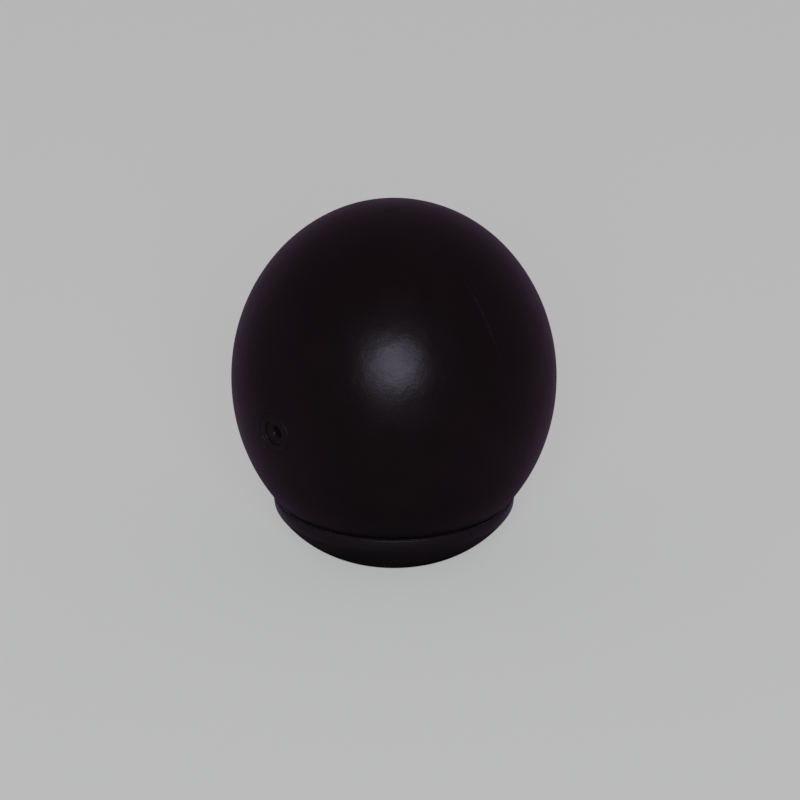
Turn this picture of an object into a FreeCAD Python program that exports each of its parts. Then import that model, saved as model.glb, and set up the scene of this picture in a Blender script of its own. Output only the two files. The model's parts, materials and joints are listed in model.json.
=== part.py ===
"""Case opening friction ball, standing in its rest ring.

A palm-sized ball of soft, tacky rubber. Pressed on the screw-on back of a watch case and twisted, it
turns the back by friction alone. The ball is blown up like a sports ball: two bonded half covers over
an airtight bladder, and a needle valve flush with the surface. It stands loose in a low rubber ring
that keeps it from rolling off the bench, and lifts straight out of it.

Frame: millimetres, +Z up, origin on the bench at the centre of the ring's foot. The ball's centre is
on the Z axis. Straight ahead, towards someone at the bench, is -Y.
"""

import FreeCAD, Part

import math
import os

V = FreeCAD.Vector
ORIGIN = V(0, 0, 0)
UP = V(0, 0, 1)

# Ball
BALL_WIDTH = 65.0
BALL_HEIGHT = 72.4
BENCH_GAP = 0.3  # the ball hangs in the ring, its lowest point just clear of the bench
COVER_WALL = 4.0
BLADDER_WALL = 1.0
CEMENT_FILM = 0.05  # left between bonded layers

# Needle valve. Its axis is a line through the ball's centre.
VALVE_BEARING = 46.0  # degrees from straight ahead, towards -X
VALVE_DROP = 5.0  # degrees below level
STEM_RADIUS = 4.0
FLANGE_RADIUS = 9.0
FLANGE_WALL = 1.2
HOUSING_DEPTH = 12.0
NOSE_RADIUS = 4.8  # the housing's inner end, below the flange
NOSE_TIP_RADIUS = 3.6
NOSE_TAPER = 2.5
VENT_RADIUS = 0.8
CORE_RECESS = 0.3  # the core's face lies this far under the ball's surface
CORE_RADIUS = 2.45
CORE_LENGTH = 9.6
CORE_CHAMFER = 0.5
CORE_CLEARANCE = 0.03
COLLAR_RADIUS = 3.15
COLLAR_TOP = 6.5
COLLAR_THICKNESS = 1.4
MOUTH_RADIUS = 2.0
MOUTH_DEPTH = 0.8
NEEDLE_RADIUS = 1.0
NEEDLE_DEPTH = 6.0  # straight length of the needle's bore

# Rest ring
FOOT_INNER_RADIUS = 8.0
FOOT_OUTER_RADIUS = 11.2
SEAT_TOP = 11.6  # height where the seat ends and the rounded lip begins
SEAT_CLEARANCE = 0.08
LIP_RADIUS = 0.35
RIM_HEIGHT = 1.6  # upright band under the lip
WALL_BULGE = 1.5  # how far the outer wall swells beyond a straight line from foot to rim

CENTRE = V(0, 0, BENCH_GAP + BALL_HEIGHT / 2)
FLANGE_INSET = COVER_WALL + BLADDER_WALL + 2 * CEMENT_FILM
BEYOND = 2 * BALL_HEIGHT  # any length that reaches right past the ball


def valve_direction():
    """Unit vector from the ball's centre out through the valve."""
    bearing = math.radians(VALVE_BEARING)
    drop = math.radians(VALVE_DROP)
    return V(-math.sin(bearing) * math.cos(drop), -math.cos(bearing) * math.cos(drop), -math.sin(drop))


VALVE_AXIS = valve_direction()


def surface_distance(direction):
    """Distance from the ball's centre to its surface along a unit vector."""
    across = math.hypot(direction.x, direction.y) / (BALL_WIDTH / 2)
    upward = direction.z / (BALL_HEIGHT / 2)
    return 1 / math.hypot(across, upward)


VALVE_MOUTH = CENTRE + VALVE_AXIS * surface_distance(VALVE_AXIS)


def ball_ellipse(inset):
    """The ball's outline in the XZ plane, moved in by inset. Its parameter is 0 at the top."""
    half_width = BALL_WIDTH / 2 - inset
    half_height = BALL_HEIGHT / 2 - inset
    return Part.Ellipse(CENTRE + V(0, 0, half_height), CENTRE + V(half_width, 0, 0), CENTRE)


def ball_solid(inset=0.0):
    """The ball as one lump, with its surface moved in by inset."""
    side = Part.ArcOfEllipse(ball_ellipse(inset), 0, math.pi).toShape()
    axis = Part.makeLine(side.lastVertex().Point, side.firstVertex().Point)
    return Part.Face(Part.Wire([side, axis])).revolve(CENTRE, UP, 360)


def ball_layer(outer_inset, wall):
    """A closed skin of the ball's shape, its outside outer_inset below the ball's surface."""
    return ball_solid(outer_inset).cut(ball_solid(outer_inset + wall))


def turned(corners):
    """Solid of revolution about +Z from a closed outline of (radius, height) corners."""
    points = [V(radius, 0, height) for radius, height in corners]
    return Part.Face(Part.makePolygon(points + points[:1])).revolve(ORIGIN, UP, 360)


def on_valve_axis(shape):
    """Moves a shape drawn about +Z, with the ball's surface at z = 0, out to the valve."""
    shape = shape.copy()
    shape.Placement = FreeCAD.Placement(VALVE_MOUTH, FreeCAD.Rotation(UP, VALVE_AXIS))
    return shape


def valve_rod(radius):
    """A rod on the valve axis, from the ball's centre to well outside it."""
    return Part.makeCylinder(radius, BEYOND, CENTRE, VALVE_AXIS)


def half_layer(outer_inset, wall, outward):
    """Half of a skin, on the side that outward points to. The seam is square to the valve."""
    side = Part.makeCylinder(BEYOND, BEYOND, CENTRE, outward)
    return ball_layer(outer_inset, wall).common(side)


def plain_half_cover():
    return half_layer(0, COVER_WALL, -VALVE_AXIS)


def valve_half_cover():
    return half_layer(0, COVER_WALL, VALVE_AXIS).cut(valve_rod(STEM_RADIUS + CEMENT_FILM))


def bladder():
    """Airtight skin, bonded all over to the inside of the covers."""
    inset = COVER_WALL + CEMENT_FILM
    valve_half = half_layer(inset, BLADDER_WALL, VALVE_AXIS).cut(valve_rod(STEM_RADIUS + CEMENT_FILM))
    return valve_half.fuse(half_layer(inset, BLADDER_WALL, -VALVE_AXIS))


def valve_housing():
    """Stem through the ball's wall, with a curved flange bonded inside the bladder and a core pocket."""
    flange = ball_layer(FLANGE_INSET, FLANGE_WALL).common(valve_rod(FLANGE_RADIUS))
    rod = Part.makeCylinder(STEM_RADIUS, 2 * HOUSING_DEPTH, V(0, 0, -HOUSING_DEPTH))
    stem = on_valve_axis(rod).common(ball_solid())
    nose_top = -FLANGE_INSET - FLANGE_WALL / 2
    nose = turned(
        [
            (0, -HOUSING_DEPTH),
            (NOSE_TIP_RADIUS, -HOUSING_DEPTH),
            (NOSE_RADIUS, -HOUSING_DEPTH + NOSE_TAPER),
            (NOSE_RADIUS, nose_top),
            (0, nose_top),
        ]
    )
    body = flange.fuse([stem, on_valve_axis(nose)]).removeSplitter()
    return body.cut(on_valve_axis(core_pocket()))


def core_pocket():
    """The space the core is pushed into: a bore with a groove for its collar, then a vent inwards."""
    radius = CORE_RADIUS + CORE_CLEARANCE
    groove_radius = COLLAR_RADIUS + CORE_CLEARANCE
    groove_top = -COLLAR_TOP + CORE_CLEARANCE
    groove_floor = -COLLAR_TOP - COLLAR_THICKNESS - CORE_CLEARANCE
    floor = -CORE_RECESS - CORE_LENGTH - CORE_CLEARANCE
    return turned(
        [
            (0, HOUSING_DEPTH),
            (radius, HOUSING_DEPTH),
            (radius, groove_top),
            (groove_radius, groove_top),
            (groove_radius, groove_floor),
            (radius, groove_floor),
            (radius, floor),
            (VENT_RADIUS, floor),
            (VENT_RADIUS, -2 * HOUSING_DEPTH),
            (0, -2 * HOUSING_DEPTH),
        ]
    )


def valve_core():
    """Soft plug with a dished mouth and a blind needle bore. The slit below the bore is shut at rest."""
    face = -CORE_RECESS
    tip = face - CORE_LENGTH
    bore_top = face - MOUTH_DEPTH
    bore_end = bore_top - NEEDLE_DEPTH
    collar_end = -COLLAR_TOP - COLLAR_THICKNESS
    plug = turned(
        [
            (0, bore_end - NEEDLE_RADIUS),
            (NEEDLE_RADIUS, bore_end),
            (NEEDLE_RADIUS, bore_top),
            (MOUTH_RADIUS, face),
            (CORE_RADIUS, face),
            (CORE_RADIUS, -COLLAR_TOP),
            (COLLAR_RADIUS, -COLLAR_TOP),
            (COLLAR_RADIUS, -COLLAR_TOP - COLLAR_THICKNESS / 2),
            (CORE_RADIUS, collar_end),
            (CORE_RADIUS, tip + CORE_CHAMFER),
            (CORE_RADIUS - CORE_CHAMFER, tip),
            (0, tip),
        ]
    )
    return on_valve_axis(plug)


def bulged_line(start, end, bulge):
    """Arc in the XZ plane, its middle standing off the straight line by bulge, to the right."""
    along = end - start
    rightward = V(along.z, 0, -along.x).normalize()
    return Part.Arc(start, (start + end) * 0.5 + rightward * bulge, end).toShape()


def rest_ring():
    """Low ring, open in the middle: seat shaped to the ball, rounded lip, upright rim, bulged outer wall."""
    ball = ball_ellipse(-SEAT_CLEARANCE)
    high_angle = math.acos((SEAT_TOP - CENTRE.z) / ball.MajorRadius)
    low_angle = math.pi - math.asin(FOOT_INNER_RADIUS / ball.MinorRadius)
    seat = Part.ArcOfEllipse(ball, high_angle, low_angle).toShape()
    seat_high = ball.value(high_angle)
    seat_low = ball.value(low_angle)
    down_the_seat = ball.tangent(high_angle)[0]
    away_from_ball = V(-down_the_seat.z, 0, down_the_seat.x)
    lip_centre = seat_high + away_from_ball * LIP_RADIUS
    rim_top = lip_centre + V(LIP_RADIUS, 0, 0)
    rim_foot = rim_top - V(0, 0, RIM_HEIGHT)
    lip_middle = lip_centre + (seat_high + rim_top - lip_centre * 2).normalize() * LIP_RADIUS
    wall_foot = V(FOOT_OUTER_RADIUS, 0, 0)
    hole_foot = V(FOOT_INNER_RADIUS, 0, 0)
    outline = Part.Wire(
        [
            Part.makeLine(hole_foot, wall_foot),
            bulged_line(wall_foot, rim_foot, WALL_BULGE),
            Part.makeLine(rim_foot, rim_top),
            Part.Arc(rim_top, lip_middle, seat_high).toShape(),
            seat,
            Part.makeLine(seat_low, hole_foot),
        ]
    )
    return Part.Face(outline).revolve(ORIGIN, UP, 360)


SUBPARTS = {
    "rest_ring": rest_ring,
    "valve_half_cover": valve_half_cover,
    "plain_half_cover": plain_half_cover,
    "bladder": bladder,
    "valve_housing": valve_housing,
    "valve_core": valve_core,
}


def main():
    os.makedirs("parts", exist_ok=True)
    for name, make in SUBPARTS.items():
        shape = make()
        if not shape.isValid() or len(shape.Solids) != 1:
            raise ValueError(f"{name} is not one valid solid")
        shape.Solids[0].exportStep(os.path.join("parts", name + ".step"))
        print(f"{name}: {shape.Volume:.0f} mm3")


main()
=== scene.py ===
"""Looks of the case opening friction ball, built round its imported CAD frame.

A palm-sized ball of satin black rubber stands in a low rubber ring. Two bonded half covers make the ball's
skin, over a bladder, and a needle valve sits flush with the surface, low on the left. Metres, +Z up. The
camera looks from the -Y side, a little above level, with a broad soft light behind it.
"""

import json
import math

import bmesh
import bpy
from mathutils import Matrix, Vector, noise


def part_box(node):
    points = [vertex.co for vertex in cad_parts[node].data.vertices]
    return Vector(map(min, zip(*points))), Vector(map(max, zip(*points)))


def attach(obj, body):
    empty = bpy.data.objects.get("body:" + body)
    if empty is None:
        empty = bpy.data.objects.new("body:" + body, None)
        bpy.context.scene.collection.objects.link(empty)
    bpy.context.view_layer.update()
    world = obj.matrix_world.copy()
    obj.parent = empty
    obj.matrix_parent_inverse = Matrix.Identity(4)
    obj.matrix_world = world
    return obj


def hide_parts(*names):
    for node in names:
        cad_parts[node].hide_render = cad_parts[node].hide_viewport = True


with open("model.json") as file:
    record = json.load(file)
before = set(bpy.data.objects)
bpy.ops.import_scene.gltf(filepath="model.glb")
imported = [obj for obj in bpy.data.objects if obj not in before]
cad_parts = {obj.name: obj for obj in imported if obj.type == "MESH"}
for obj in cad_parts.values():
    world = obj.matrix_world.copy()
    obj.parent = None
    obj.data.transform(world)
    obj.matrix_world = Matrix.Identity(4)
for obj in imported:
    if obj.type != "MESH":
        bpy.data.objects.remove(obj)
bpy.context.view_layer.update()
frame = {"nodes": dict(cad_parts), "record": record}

MM = 0.001
UP = Vector((0, 0, 1))

# How finely the meshes are made
AROUND = 288  # points round the ball, the valve and the ring
OUTSIDE_STEPS = 150  # rings over the outside of each half cover
INSIDE_STEPS = 40  # rings over its inside
BLADDER_STEPS = 80
SEAT_STEPS = 28
LIP_STEPS = 16
CORNER_STEPS = 4
WALL_STEP = 0.2 * MM
SHARP_ANGLE = math.radians(40)  # faces that meet at more than this aren't shaded as one curve

# Layers of the ball
COVER_WALL = 4.0 * MM
BLADDER_WALL = 1.0 * MM
CEMENT_FILM = 0.05 * MM

# Needle valve: a moulded housing, and a soft core pushed into it
STEM_RADIUS = 4.0 * MM
FLANGE_RADIUS = 9.0 * MM
FLANGE_WALL = 1.2 * MM
HOUSING_DEPTH = 12.0 * MM
NOSE_RADIUS = 4.8 * MM
NOSE_TIP_RADIUS = 3.6 * MM
NOSE_TAPER = 2.5 * MM
VENT_RADIUS = 0.8 * MM
CORE_RECESS = 0.3 * MM
CORE_RADIUS = 2.45 * MM
CORE_LENGTH = 9.6 * MM
CORE_CHAMFER = 0.5 * MM
CORE_CLEARANCE = 0.03 * MM
COLLAR_RADIUS = 3.15 * MM
COLLAR_TOP = 6.5 * MM
COLLAR_THICKNESS = 1.4 * MM
MOUTH_RADIUS = 2.0 * MM
MOUTH_DEPTH = 0.8 * MM
NEEDLE_RADIUS = 1.0 * MM
NEEDLE_DEPTH = 6.0 * MM

# Rest ring
SEAT_TOP = 11.6 * MM
SEAT_CLEARANCE = 0.08 * MM
LIP_RADIUS = 0.35 * MM
RIM_HEIGHT = 1.6 * MM
WALL_BULGE = 1.5 * MM
ON_BENCH = 0.01 * MM  # points of the CAD ring lower than this are part of its foot

# Moulded edges, and how far moulded surfaces wander from true
EDGE_ROUND = 0.2 * MM
SEAM_ROUND = 0.035 * MM
FOOT_ROUND = 0.5 * MM
WORN_BEND = 0.2 * MM  # edges rounded to this radius or tighter are worn pale
PARTING_RIDGE = 0.05 * MM  # where the halves of the ring's mould met, round the rim
WALL_SOFTENING = 12  # passes that ease the corner between the ring's wall and its rim
BALL_UNEVENNESS = 0.035 * MM
BROAD_SWELLS = 1.7  # in the length of the ball's radius
FINE_SWELLS = 5.3
FINE_SHARE = 0.35  # height of the fine swells, against the broad ones
FINE_START = Vector((7, 3, 1))  # keeps the fine swells from lining up with the broad ones
RING_UNEVENNESS = 0.05 * MM
RING_SWELLS = 1.5  # in the length of the ring's radius

# Camera
CAMERA_DISTANCE = 0.6
CAMERA_ELEVATION = math.radians(22)
CAMERA_LENS = 135
AIM_RIGHT = 1.2 * MM  # the camera aims this far right of the ball's centre and below it
AIM_BELOW = 4.54 * MM

# Floor, studio and key light. Tones are linear.
FLOOR_RADIUS = 4
FLOOR_SIDES = 64
FLOOR_TONE = 0.479
FLOOR_GLOW = 0.369  # the part of the floor's tone that doesn't depend on the light
FLOOR_COLOUR = (0.54, 0.72, 0.50)  # makes up for the light's tint, so the floor comes out neutral
STUDIO_TONE = (0.128, 0.080, 0.130)  # what the rubber mirrors
SHADE_START = 17 * MM  # the floor looks black to the rubber up to this far from the ring's centre,
SHADE_HALF = 25 * MM  # has half of the studio's tone here,
SHADE_END = 64 * MM  # and all of it from here on
LENS_GLARE = 0.001  # stray light in the lens, which lifts the darkest tones
KEY_COLOUR = (1.0, 0.93, 1.2)
KEY_POWER = 24.5  # watts
KEY_DISTANCE = 2.4  # behind the camera
KEY_WIDE = math.radians(31)  # how wide and tall the key light looks from the ball
KEY_TALL = math.radians(23.3)
KEY_BELOW = math.radians(1.2)  # how far the key light stands below the camera and to its right
KEY_RIGHT = math.radians(0.5)

# Rubber. A size is that of a noise's blobs, and a span is the part of the noise's range that shows. Paling
# is how far a mark takes the colour towards the bloom's.
RUBBER_IOR = 1.36
PATCH_SIZE = 14 * MM
PATCH_SPAN = (0.42, 0.66)
PATCH_PALING = 0.35
DUST_SIZE = 0.3 * MM
DUST_SPAN = (0.76, 0.86)
WEAR_SIZE = 1.5 * MM
WEAR_SPAN = (0.35, 0.6)
LEAST_WEAR = 0.2  # worn edges never fade below this part of their full wear
HAIRLINE = 0.07 * MM
SCRATCH_SPACING = 9 * MM
SCRATCH_SPAN = (0.58, 0.68)
SCRATCH_PALING = 0.8
SCRATCH_DULLING = 0.12  # what a scratch adds to the roughness
SMUDGE_SIZE = 6 * MM
SMUDGE_SPAN = (0.3, 0.7)
SMUDGE_CHANGE = 0.025  # how far smudges take the roughness up and down
PEEL_SIZE = 2.5 * MM
# Painted sheen on the ring's rim: how far the rim's colour is paled towards the bloom's, and its sheen lobe.
# Both stand in for the bright surroundings that the rim reflects at its sides.
RIM_SHEEN_PALING = 0.35
RIM_SHEEN = 0.25
RIM_SHEEN_ROUGHNESS = 0.4


def joint_box(*nodes):
    """Lowest and highest corner of several CAD nodes together."""
    lows, highs = zip(*(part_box(node) for node in nodes))
    return Vector(map(min, *lows)), Vector(map(max, *highs))


def mount_axis(name):
    """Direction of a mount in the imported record."""
    mounts = frame["record"]["mounts"]
    return Vector(next(m["axis"] for m in mounts if m["name"] == name)).normalized()


def foot_radii():
    """Inner and outer radius of the flat foot under the CAD ring."""
    on_bench = [v.co for v in frame["nodes"]["rest_ring"].data.vertices if v.co.z < ON_BENCH]
    radii = [math.hypot(point.x, point.y) for point in on_bench]
    return min(radii), max(radii)


ball_low, ball_high = joint_box("valve_half_cover", "plain_half_cover")
HALF_WIDTH = max(ball_high.x - ball_low.x, ball_high.y - ball_low.y) / 2
HALF_HEIGHT = (ball_high.z - ball_low.z) / 2
CENTRE = Vector((0, 0, (ball_low.z + ball_high.z) / 2))
FOOT_INNER_RADIUS, FOOT_OUTER_RADIUS = foot_radii()

VALVE_AXIS = mount_axis("needle_port")
VALVE_SIDE = UP.cross(VALVE_AXIS).normalized()
VALVE_TOP = VALVE_AXIS.cross(VALVE_SIDE)
TURNS = [2 * math.pi * i / AROUND for i in range(AROUND)]
SEAM = math.pi / 2  # polar angles are measured at the ball's centre, from the valve
FAR_POLE = math.pi


# The ball's surface


def unevenness(direction):
    """How far the moulded surface stands off the true shape in a direction from the ball's centre."""
    broad = noise.noise(direction * BROAD_SWELLS)
    fine = noise.noise(direction * FINE_SWELLS + FINE_START)
    return (broad + FINE_SHARE * fine) * BALL_UNEVENNESS


def around_valve(turn):
    """Unit vector square to the valve's axis, at an angle round it."""
    return VALVE_SIDE * math.cos(turn) + VALVE_TOP * math.sin(turn)


def ball_point(turn, polar, inset):
    """Point on the ball's surface, moved in by inset, at an angle round the valve and a polar angle."""
    direction = VALVE_AXIS * math.cos(polar) + around_valve(turn) * math.sin(polar)
    across = math.hypot(direction.x, direction.y) / (HALF_WIDTH - inset)
    upward = direction.z / (HALF_HEIGHT - inset)
    return CENTRE + direction * (1 / math.hypot(across, upward) + unevenness(direction))


def point_by_valve(turn, radius, inset):
    """Point at a radius from the valve's axis, on the ball's surface moved in by inset.

    It is where a line parallel to the axis leaves the ellipsoid, so its distance t along the axis is the
    larger root of a t^2 + 2 b t + c = 0.
    """
    wide = (HALF_WIDTH - inset) ** 2
    weights = Vector((1 / wide, 1 / wide, 1 / (HALF_HEIGHT - inset) ** 2))
    lateral = around_valve(turn) * radius
    a = (weights * VALVE_AXIS).dot(VALVE_AXIS)
    b = (weights * lateral).dot(VALVE_AXIS)
    c = (weights * lateral).dot(lateral) - 1
    offset = lateral + VALVE_AXIS * (math.sqrt(b * b - a * c) - b) / a
    return CENTRE + offset + VALVE_AXIS * unevenness(offset.normalized())


def valve_ring(radius, inset):
    """Ring of points about the valve's axis, inset below the ball's surface. Radius 0 is one point."""
    turns = TURNS if radius else TURNS[:1]
    return [point_by_valve(turn, radius, inset) for turn in turns]


def hole_polars(radius, inset):
    """Polar angle of each point of a hole's edge round the valve."""
    return [(point - CENTRE).angle(VALVE_AXIS) for point in valve_ring(radius, inset)]


def edge_drop(distance, radius):
    """How far a rounded edge has dropped, at a distance in from where the sharp edge would be."""
    if distance >= radius:
        return 0
    return radius - math.sqrt(radius**2 - (radius - distance) ** 2)


def shares(steps, fine_start, fine_end):
    """Shares from 0 to 1, ever closer together towards a fine end."""
    even = [step / steps for step in range(steps + 1)]
    if fine_start and fine_end:
        return [0.5 - 0.5 * math.cos(math.pi * share) for share in even]
    if fine_end:
        return [math.sin(math.pi / 2 * share) for share in even]
    return even


def skin_rings(starts, end, inset, steps, start_round=0, end_round=0):
    """Rings over the ball's surface, from a polar angle for each turn to one common polar angle."""
    rings = []
    for share in shares(steps, start_round > 0, end_round > 0):
        ring = []
        for turn, start in zip(TURNS, starts):
            run = abs(end - start) * HALF_WIDTH
            drop = edge_drop(share * run, start_round) + edge_drop((1 - share) * run, end_round)
            ring.append(ball_point(turn, start + (end - start) * share, inset + drop))
        rings.append(ring)
    return rings


# Outlines, as (radius, depth) or (radius, height) points


def softened(corners, closed=False):
    """Outline through (point, round) corners, each corner cut back by round and curved."""
    outline = []
    for i, (corner, size) in enumerate(corners):
        at_end = i in (0, len(corners) - 1) and not closed
        if at_end or not size:
            outline.append(corner)
            continue
        before = corner + (corners[i - 1][0] - corner).normalized() * size
        after = corner + (corners[(i + 1) % len(corners)][0] - corner).normalized() * size
        for step in range(CORNER_STEPS + 1):
            share = step / CORNER_STEPS
            into = before.lerp(corner, share)
            outline.append(into.lerp(corner.lerp(after, share), share))
    return outline


def bulged_line(start, end, bulge, steps):
    """Arc between two points, its middle standing off the straight line by bulge, to the right."""
    along = end - start
    right = Vector((along.y, -along.x)).normalized()
    half_angle = 2 * math.atan2(2 * bulge, along.length)
    radius = along.length / 2 / math.sin(half_angle)
    centre = (start + end) / 2 + right * (bulge - radius)
    angles = [half_angle * (2 * i / steps - 1) for i in range(steps + 1)]
    along.normalize()
    return [centre + right * radius * math.cos(a) + along * radius * math.sin(a) for a in angles]


# Meshes


def edge_wear(before, vert, after):
    """Wear of a point between its neighbours: 0 on a gentle stretch, up to 1 where it bends out tightly."""
    run_in = vert.co - before.co
    run_out = after.co - vert.co
    if (run_in.normalized() - run_out.normalized()).dot(vert.normal) <= 0:
        return 0
    bend = run_in.angle(run_out) / (run_in.length + run_out.length) * 2
    return min(1, bend * WORN_BEND)


def piece_from_rings(name, rings, closed=False):
    """Mesh over rings of points. A ring of one point is a pole. Closed joins the last ring to the first.

    Every ring is taken to be worn alike all round.
    """
    bm = bmesh.new()
    wear = bm.verts.layers.float.new("edge_wear")
    loops = [[bm.verts.new(point) for point in ring] for ring in rings]
    pairs = list(zip(loops, loops[1:]))
    if closed:
        pairs.append((loops[-1], loops[0]))
    for first, second in pairs:
        for i in range(AROUND):
            j = (i + 1) % AROUND
            near = [first[i % len(first)], first[j % len(first)]]
            far = [second[j % len(second)], second[i % len(second)]]
            bm.faces.new(dict.fromkeys(near + far))
    bmesh.ops.recalc_face_normals(bm, faces=bm.faces)
    bm.normal_update()
    for before, loop, after in zip([loops[-1], *loops], loops, [*loops[1:], loops[0]]):
        amount = edge_wear(before[0], loop[0], after[0])
        for vert in loop:
            vert[wear] = amount
    mesh = bpy.data.meshes.new(name)
    bm.to_mesh(mesh)
    bm.free()
    mesh.shade_smooth()
    mesh.set_sharp_from_angle(angle=SHARP_ANGLE)
    piece = bpy.data.objects.new(name, mesh)
    bpy.context.scene.collection.objects.link(piece)
    return piece


def valve_half_skin():
    """Cover on the valve's side: outside, seam face, inside, and the wall of the hole for the stem."""
    hole = STEM_RADIUS + CEMENT_FILM
    outside = skin_rings(hole_polars(hole, 0), SEAM, 0, OUTSIDE_STEPS, EDGE_ROUND, SEAM_ROUND)
    inside = skin_rings(hole_polars(hole, COVER_WALL), SEAM, COVER_WALL, INSIDE_STEPS)
    return piece_from_rings("valve_half_skin", outside + inside[::-1], closed=True)


def plain_half_skin():
    """Cover on the far side, from its pole to the seam and back inside."""
    poles = [FAR_POLE] * AROUND
    outside = skin_rings(poles, SEAM, 0, OUTSIDE_STEPS, 0, SEAM_ROUND)
    inside = skin_rings(poles, SEAM, COVER_WALL, INSIDE_STEPS)
    rings = [outside[0][:1]] + outside[1:] + inside[:0:-1] + [inside[0][:1]]
    return piece_from_rings("plain_half_skin", rings)


def bladder_skin():
    """Thin airtight skin inside the covers, with a hole for the valve's stem."""
    hole = STEM_RADIUS + CEMENT_FILM
    outer = COVER_WALL + CEMENT_FILM
    inner = outer + BLADDER_WALL
    outside = skin_rings(hole_polars(hole, outer), FAR_POLE, outer, BLADDER_STEPS)
    inside = skin_rings(hole_polars(hole, inner), FAR_POLE, inner, BLADDER_STEPS)
    outside[-1] = outside[-1][:1]
    inside[-1] = inside[-1][:1]
    return piece_from_rings("bladder_skin", outside[::-1] + inside)


def valve_housing_skin():
    """Moulded housing: stem, curved flange, nose, and the pocket that holds the core."""
    flange_top = COVER_WALL + BLADDER_WALL + 2 * CEMENT_FILM
    flange_under = flange_top + FLANGE_WALL
    pocket = CORE_RADIUS + CORE_CLEARANCE
    groove = COLLAR_RADIUS + CORE_CLEARANCE
    groove_top = COLLAR_TOP - CORE_CLEARANCE
    groove_floor = COLLAR_TOP + COLLAR_THICKNESS + CORE_CLEARANCE
    floor = CORE_RECESS + CORE_LENGTH + CORE_CLEARANCE
    corners = [
        (STEM_RADIUS, 0, EDGE_ROUND),
        (pocket, 0, EDGE_ROUND),
        (pocket, groove_top, 0),
        (groove, groove_top, 0),
        (groove, groove_floor, 0),
        (pocket, groove_floor, 0),
        (pocket, floor, 0),
        (VENT_RADIUS, floor, 0),
        (VENT_RADIUS, HOUSING_DEPTH, EDGE_ROUND),
        (NOSE_TIP_RADIUS, HOUSING_DEPTH, EDGE_ROUND),
        (NOSE_RADIUS, HOUSING_DEPTH - NOSE_TAPER, EDGE_ROUND),
        (NOSE_RADIUS, flange_under, 0),
        (FLANGE_RADIUS, flange_under, EDGE_ROUND),
        (FLANGE_RADIUS, flange_top, EDGE_ROUND),
        (STEM_RADIUS, flange_top, 0),
    ]
    outline = softened([(Vector((r, depth)), size) for r, depth, size in corners], closed=True)
    return piece_from_rings("valve_housing_skin", [valve_ring(*point) for point in outline], closed=True)


def valve_core_skin():
    """Soft core with a dished mouth, a needle bore that ends blind, and a holding collar."""
    bore_top = CORE_RECESS + MOUTH_DEPTH
    bore_end = bore_top + NEEDLE_DEPTH
    collar_end = COLLAR_TOP + COLLAR_THICKNESS
    tip = CORE_RECESS + CORE_LENGTH
    corners = [
        (0, bore_end + NEEDLE_RADIUS, 0),
        (NEEDLE_RADIUS, bore_end, 0),
        (NEEDLE_RADIUS, bore_top, EDGE_ROUND),
        (MOUTH_RADIUS, CORE_RECESS, EDGE_ROUND),
        (CORE_RADIUS, CORE_RECESS, EDGE_ROUND),
        (CORE_RADIUS, COLLAR_TOP, 0),
        (COLLAR_RADIUS, COLLAR_TOP, EDGE_ROUND),
        (COLLAR_RADIUS, COLLAR_TOP + COLLAR_THICKNESS / 2, EDGE_ROUND),
        (CORE_RADIUS, collar_end, 0),
        (CORE_RADIUS, tip - CORE_CHAMFER, 0),
        (CORE_RADIUS - CORE_CHAMFER, tip, 0),
        (0, tip, 0),
    ]
    outline = softened([(Vector((r, depth)), size) for r, depth, size in corners])
    return piece_from_rings("valve_core_skin", [valve_ring(*point) for point in outline])


def eased(points, passes):
    """Softens a line's corners. Its ends stay put."""
    for _ in range(passes):
        inner = [(a + b * 2 + c) / 4 for a, b, c in zip(points, points[1:], points[2:])]
        points = [points[0], *inner, points[-1]]
    return points


def evenly(start, end, step):
    """Points from start to nearly end, about a step apart."""
    count = round((end - start).length / step)
    return [start.lerp(end, i / count) for i in range(count)]


def ring_outline():
    """The rest ring's outline as (radius, height): foot, outer wall, rim, lip and seat."""
    wide = HALF_WIDTH + SEAT_CLEARANCE
    tall = HALF_HEIGHT + SEAT_CLEARANCE
    high = math.acos((SEAT_TOP - CENTRE.z) / tall)
    low = math.pi - math.asin(FOOT_INNER_RADIUS / wide)
    angles = [high + (low - high) * i / SEAT_STEPS for i in range(SEAT_STEPS + 1)]
    seat = [Vector((wide * math.sin(a), CENTRE.z + tall * math.cos(a))) for a in angles]
    down_the_seat = Vector((wide * math.cos(high), -tall * math.sin(high))).normalized()
    away_from_ball = Vector((-down_the_seat.y, down_the_seat.x))
    lip_centre = seat[0] + away_from_ball * LIP_RADIUS
    lip_end = math.atan2(-away_from_ball.y, -away_from_ball.x)
    lip_angles = [lip_end * i / LIP_STEPS for i in range(LIP_STEPS)]
    lip = [lip_centre + Vector((math.cos(a), math.sin(a))) * LIP_RADIUS for a in lip_angles]
    rim_foot = lip[0] - Vector((0, RIM_HEIGHT))
    wall_foot = Vector((FOOT_OUTER_RADIUS, 0))
    wall_steps = round((rim_foot - wall_foot).length / WALL_STEP)
    wall = bulged_line(wall_foot, rim_foot, WALL_BULGE, wall_steps)
    rim = evenly(rim_foot, lip[0], WALL_STEP)
    side = eased(wall[:-1] + rim + lip[:1], WALL_SOFTENING)
    rim_middle = len(side) - len(rim) // 2
    side[rim_middle] += Vector((PARTING_RIDGE, 0))
    corners = [(Vector((FOOT_INNER_RADIUS, 0)), FOOT_ROUND)]
    corners += [(point, 0) for point in side + lip[1:] + seat[:-1]]
    corners += [(seat[-1], FOOT_ROUND)]
    return softened(corners, closed=True)


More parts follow.
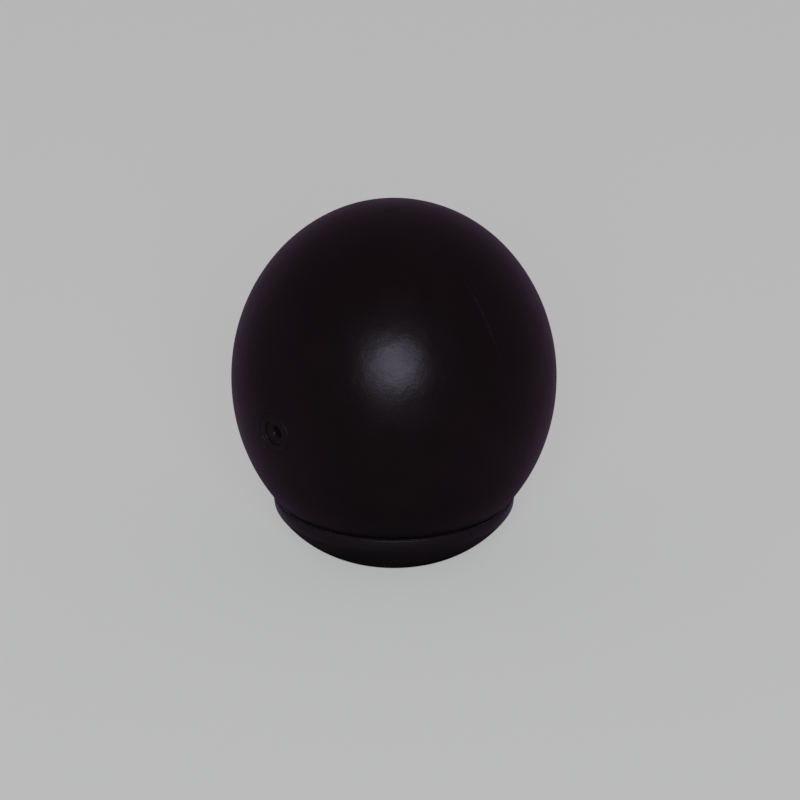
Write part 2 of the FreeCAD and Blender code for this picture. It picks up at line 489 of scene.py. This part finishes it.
def rest_ring_skin():
    """The low ring, turned about the vertical, its moulded surface standing off a little unevenly."""
    rings = []
    for radius, height in ring_outline():
        ring = []
        for turn in TURNS:
            spot = Vector((math.cos(turn), math.sin(turn), height / FOOT_OUTER_RADIUS))
            grown = radius + (1 + noise.noise(spot * RING_SWELLS)) / 2 * RING_UNEVENNESS
            ring.append(Vector((math.cos(turn) * grown, math.sin(turn) * grown, height)))
        rings.append(ring)
    return piece_from_rings("rest_ring_skin", rings, closed=True)


# Materials


def add_node(tree, kind, inputs=None, **settings):
    """A shader node with some inputs and settings filled in. An input can be a value or another socket."""
    node = tree.nodes.new(kind)
    for key, value in settings.items():
        setattr(node, key, value)
    for key, value in (inputs or {}).items():
        if isinstance(value, bpy.types.NodeSocket):
            tree.links.new(value, node.inputs[key])
        else:
            node.inputs[key].default_value = value
    return node


def maths(tree, operation, first, second):
    """Result of an operation on two values, each a number or a socket."""
    return add_node(tree, "ShaderNodeMath", {0: first, 1: second}, operation=operation).outputs[0]


def speckle(tree, size, detail=2.0, roughness=0.5):
    """Noise between 0 and 1, with blobs of a given size in metres."""
    place = add_node(tree, "ShaderNodeTexCoord").outputs["Object"]
    inputs = {"Vector": place, "Scale": 1 / size, "Detail": detail, "Roughness": roughness}
    return add_node(tree, "ShaderNodeTexNoise", inputs).outputs["Fac"]


def remap(tree, value, low, high, to_low, to_high):
    """Value taken from one range to another, eased at both ends, and held there beyond them."""
    inputs = {"Value": value, "From Min": low, "From Max": high, "To Min": to_low, "To Max": to_high}
    return add_node(tree, "ShaderNodeMapRange", inputs, interpolation_type="SMOOTHSTEP").outputs["Result"]


def scaled(tree, value, most):
    """Value between 0 and 1 taken to between 0 and most, eased at both ends."""
    return remap(tree, value, 0, 1, 0, most)


def bump(tree, height, depth, under=None):
    """Bump of a given depth in metres, over another if there is one."""
    inputs = {"Height": height, "Distance": depth, "Strength": 1.0}
    if under:
        inputs["Normal"] = under
    return add_node(tree, "ShaderNodeBump", inputs).outputs["Normal"]


def mixed(tree, factor, first, second):
    """Blend of two colours. Their sockets share their names with others, so they go by number."""
    inputs = {"Factor": factor, 6: first, 7: second}
    return add_node(tree, "ShaderNodeMix", inputs, data_type="RGBA").outputs[2]


def hairlines(tree):
    """Sparse fine scratches, 1 on a scratch and 0 off it: pieces of the borders between random cells."""
    place = add_node(tree, "ShaderNodeTexCoord").outputs["Object"]
    inputs = {"Vector": place, "Scale": 1 / SCRATCH_SPACING}
    border = add_node(tree, "ShaderNodeTexVoronoi", inputs, feature="DISTANCE_TO_EDGE").outputs["Distance"]
    lines = remap(tree, border, 0, HAIRLINE / SCRATCH_SPACING, 1, 0)
    pieces = remap(tree, speckle(tree, SCRATCH_SPACING / 2), *SCRATCH_SPAN, 0, 1)
    return maths(tree, "MULTIPLY", lines, pieces)


def worn_edges(tree):
    """Wear of tight edges, a little uneven along them."""
    edges = add_node(tree, "ShaderNodeAttribute", attribute_name="edge_wear").outputs["Fac"]
    unevenly = remap(tree, speckle(tree, WEAR_SIZE, 3), *WEAR_SPAN, LEAST_WEAR, 1)
    return maths(tree, "MULTIPLY", edges, unevenly)


def painted_rim_sheen(tree):
    """Mask of the painted sheen: 1 on the ring's rim, fading out down the wall."""
    place = add_node(tree, "ShaderNodeTexCoord").outputs["Object"]
    height = add_node(tree, "ShaderNodeSeparateXYZ", {0: place}).outputs["Z"]
    return remap(tree, height, SEAT_TOP - 2 * RIM_HEIGHT, SEAT_TOP - RIM_HEIGHT / 2, 0, 1)


def dulled(tree, roughness, scratches):
    """Roughness with smudges, and duller on the scratches."""
    smudges = speckle(tree, SMUDGE_SIZE, 3)
    smudged = remap(tree, smudges, *SMUDGE_SPAN, roughness - SMUDGE_CHANGE, roughness + SMUDGE_CHANGE)
    return maths(tree, "ADD", smudged, maths(tree, "MULTIPLY", scratches, SCRATCH_DULLING))


def rubber(name, colour, bloom, roughness, grain_size, grain_depth, peel_depth, painted_sheen=None):
    """Moulded rubber: grain over a broad orange peel, patchy bloom, dust, scratches and worn edges.

    The last argument, if given, makes the mask of a painted sheen: the part it covers is paled and given a
    sheen lobe, standing in for the bright surroundings it reflects.
    """
    material = bpy.data.materials.new(name)
    material.use_nodes = True
    tree = material.node_tree
    shader = tree.nodes["Principled BSDF"]
    shader.inputs["IOR"].default_value = RUBBER_IOR
    patches = remap(tree, speckle(tree, PATCH_SIZE, 4, 0.6), *PATCH_SPAN, 0, PATCH_PALING)
    dust = remap(tree, speckle(tree, DUST_SIZE, 1), *DUST_SPAN, 0, 1)
    scratches = hairlines(tree)
    marks = [dust, scaled(tree, scratches, SCRATCH_PALING), worn_edges(tree)]
    if painted_sheen:
        # painted sheen: the masked part is paled and given a sheen lobe in place of the light it reflects
        sheen_share = painted_sheen(tree)
        marks.append(scaled(tree, sheen_share, RIM_SHEEN_PALING))
        tree.links.new(scaled(tree, sheen_share, RIM_SHEEN), shader.inputs["Sheen Weight"])
        shader.inputs["Sheen Roughness"].default_value = RIM_SHEEN_ROUGHNESS
    haze = patches
    for mark in marks:
        haze = maths(tree, "MAXIMUM", haze, mark)
    peel = bump(tree, speckle(tree, PEEL_SIZE, 1), peel_depth)
    grain = bump(tree, speckle(tree, grain_size, 2), grain_depth, peel)
    tree.links.new(mixed(tree, haze, colour, bloom), shader.inputs["Base Color"])
    tree.links.new(dulled(tree, roughness, scratches), shader.inputs["Roughness"])
    tree.links.new(grain, shader.inputs["Normal"])
    return material


def grip_rubber():
    return rubber(
        "grip_rubber",
        colour=(0.0048, 0.0026, 0.0010, 1),
        bloom=(0.0117, 0.0083, 0.0061, 1),
        roughness=0.29,
        grain_size=0.5 * MM,
        grain_depth=0.016 * MM,
        peel_depth=0.04 * MM,
    )


def ring_rubber():
    return rubber(
        "ring_rubber",
        colour=(0.0048, 0.0038, 0.0030, 1),
        bloom=(0.020, 0.017, 0.019, 1),
        roughness=0.46,
        grain_size=0.4 * MM,
        grain_depth=0.02 * MM,
        peel_depth=0.05 * MM,
        painted_sheen=painted_rim_sheen,
    )


def valve_rubber():
    return rubber(
        "valve_rubber",
        colour=(0.0060, 0.0050, 0.0038, 1),
        bloom=(0.016, 0.0136, 0.0115, 1),
        roughness=0.36,
        grain_size=0.2 * MM,
        grain_depth=0.003 * MM,
        peel_depth=0.01 * MM,
    )


def bladder_rubber():
    return rubber(
        "bladder_rubber",
        colour=(0.020, 0.018, 0.019, 1),
        bloom=(0.043, 0.041, 0.042, 1),
        roughness=0.3,
        grain_size=0.4 * MM,
        grain_depth=0.002 * MM,
        peel_depth=0.03 * MM,
    )


# Surroundings


def floor_seen(tree):
    """The floor's own look: plain pale paper, partly lit by the key light."""
    lit = add_node(tree, "ShaderNodeBsdfDiffuse", {"Color": (*FLOOR_COLOUR, 1)}).outputs[0]
    glow = add_node(tree, "ShaderNodeEmission", {"Strength": FLOOR_GLOW}).outputs[0]
    return add_node(tree, "ShaderNodeAddShader", {0: lit, 1: glow}).outputs[0]


def floor_mirrored(tree):
    """The floor as the rubber mirrors it: dim, and shaded by the object close to the foot."""
    place = add_node(tree, "ShaderNodeTexCoord").outputs["Object"]
    distance = add_node(tree, "ShaderNodeVectorMath", {0: place}, operation="LENGTH").outputs["Value"]
    close = remap(tree, distance, SHADE_START, SHADE_HALF, 0, 0.5)
    wide = remap(tree, distance, SHADE_HALF, SHADE_END, 0, 0.5)
    tone = mixed(tree, maths(tree, "ADD", close, wide), (0, 0, 0, 1), (*STUDIO_TONE, 1))
    return add_node(tree, "ShaderNodeEmission", {"Color": tone}).outputs[0]


def floor_material():
    """Pale to the camera, dim where the rubber mirrors it, and open from below so that the foot shows."""
    material = bpy.data.materials.new("floor")
    material.use_nodes = True
    tree = material.node_tree
    tree.nodes.remove(tree.nodes["Principled BSDF"])
    mirrored = add_node(tree, "ShaderNodeLightPath").outputs["Is Glossy Ray"]
    looks = {0: mirrored, 1: floor_seen(tree), 2: floor_mirrored(tree)}
    above = add_node(tree, "ShaderNodeMixShader", looks).outputs[0]
    below = add_node(tree, "ShaderNodeBsdfTransparent").outputs[0]
    facing_down = add_node(tree, "ShaderNodeNewGeometry").outputs["Backfacing"]
    both = add_node(tree, "ShaderNodeMixShader", {0: facing_down, 1: above, 2: below}).outputs[0]
    tree.links.new(both, tree.nodes["Material Output"].inputs["Surface"])
    return material


def floor():
    """Plain floor at the bench's level. It casts no shadow, and lights the object only by its reflection."""
    bm = bmesh.new()
    bmesh.ops.create_circle(bm, cap_ends=True, radius=FLOOR_RADIUS, segments=FLOOR_SIDES)
    mesh = bpy.data.meshes.new("floor")
    bm.to_mesh(mesh)
    bm.free()
    piece = bpy.data.objects.new("floor", mesh)
    bpy.context.scene.collection.objects.link(piece)
    piece.visible_diffuse = False
    piece.visible_shadow = False
    mesh.materials.append(floor_material())


def surroundings():
    """Dim studio for the object to mirror. The camera sees the floor's tone instead."""
    world = bpy.data.worlds.new("studio")
    bpy.context.scene.world = world
    world.use_nodes = True
    tree = world.node_tree
    paper = (FLOOR_TONE, FLOOR_TONE, FLOOR_TONE, 1)
    seen = add_node(tree, "ShaderNodeLightPath").outputs["Is Camera Ray"]
    tone = mixed(tree, seen, (*STUDIO_TONE, 1), paper)
    tree.links.new(tone, tree.nodes["Background"].inputs["Color"])


def picture():
    """Plain tones, as an ordinary camera makes them, with a trace of glare in the blacks."""
    settings = bpy.context.scene.view_settings
    settings.view_transform = "Standard"
    settings.use_curve_mapping = True
    settings.curve_mapping.black_level = (-LENS_GLARE, -LENS_GLARE, -LENS_GLARE)


def camera():
    """Camera at the ball's front, a little above level."""
    back = Vector((0, -math.cos(CAMERA_ELEVATION), math.sin(CAMERA_ELEVATION)))
    camera_up = Vector((0, math.sin(CAMERA_ELEVATION), math.cos(CAMERA_ELEVATION)))
    aim = CENTRE + Vector((AIM_RIGHT, 0, 0)) - camera_up * AIM_BELOW
    eye = bpy.data.objects.new("camera", bpy.data.cameras.new("camera"))
    eye.data.lens = CAMERA_LENS
    eye.location = aim + back * CAMERA_DISTANCE
    eye.rotation_euler = (-back).to_track_quat("-Z", "Y").to_euler()
    bpy.context.scene.collection.objects.link(eye)
    bpy.context.scene.camera = eye
    return eye


def key_light(eye):
    """Broad soft light behind the camera. It goes wherever the camera goes."""
    reach = KEY_DISTANCE + CAMERA_DISTANCE
    key = bpy.data.objects.new("key_light", bpy.data.lights.new("key_light", "AREA"))
    key.data.shape = "ELLIPSE"
    key.data.size = 2 * reach * math.tan(KEY_WIDE / 2)
    key.data.size_y = 2 * reach * math.tan(KEY_TALL / 2)
    key.data.energy = KEY_POWER
    key.data.color = KEY_COLOUR
    key.parent = eye
    key.location = (reach * math.tan(KEY_RIGHT), -reach * math.tan(KEY_BELOW), KEY_DISTANCE)
    bpy.context.scene.collection.objects.link(key)


PIECES = [
    (valve_half_skin, "ball", "valve_half_cover", grip_rubber),
    (plain_half_skin, "ball", "plain_half_cover", grip_rubber),
    (bladder_skin, "ball", "bladder", bladder_rubber),
    (valve_housing_skin, "ball", "valve_housing", valve_rubber),
    (valve_core_skin, "ball", "valve_core", valve_rubber),
    (rest_ring_skin, "rest", "rest_ring", ring_rubber),
]


def build():
    """Makes every piece, dresses it and sets it on its body."""
    materials = {}
    for make_piece, body, node, make_material in PIECES:
        piece = make_piece()
        name = make_material.__name__
        if name not in materials:
            materials[name] = make_material()
        piece.data.materials.append(materials[name])
        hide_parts(node)
        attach(piece, body)


build()
floor()
surroundings()
key_light(camera())
picture()
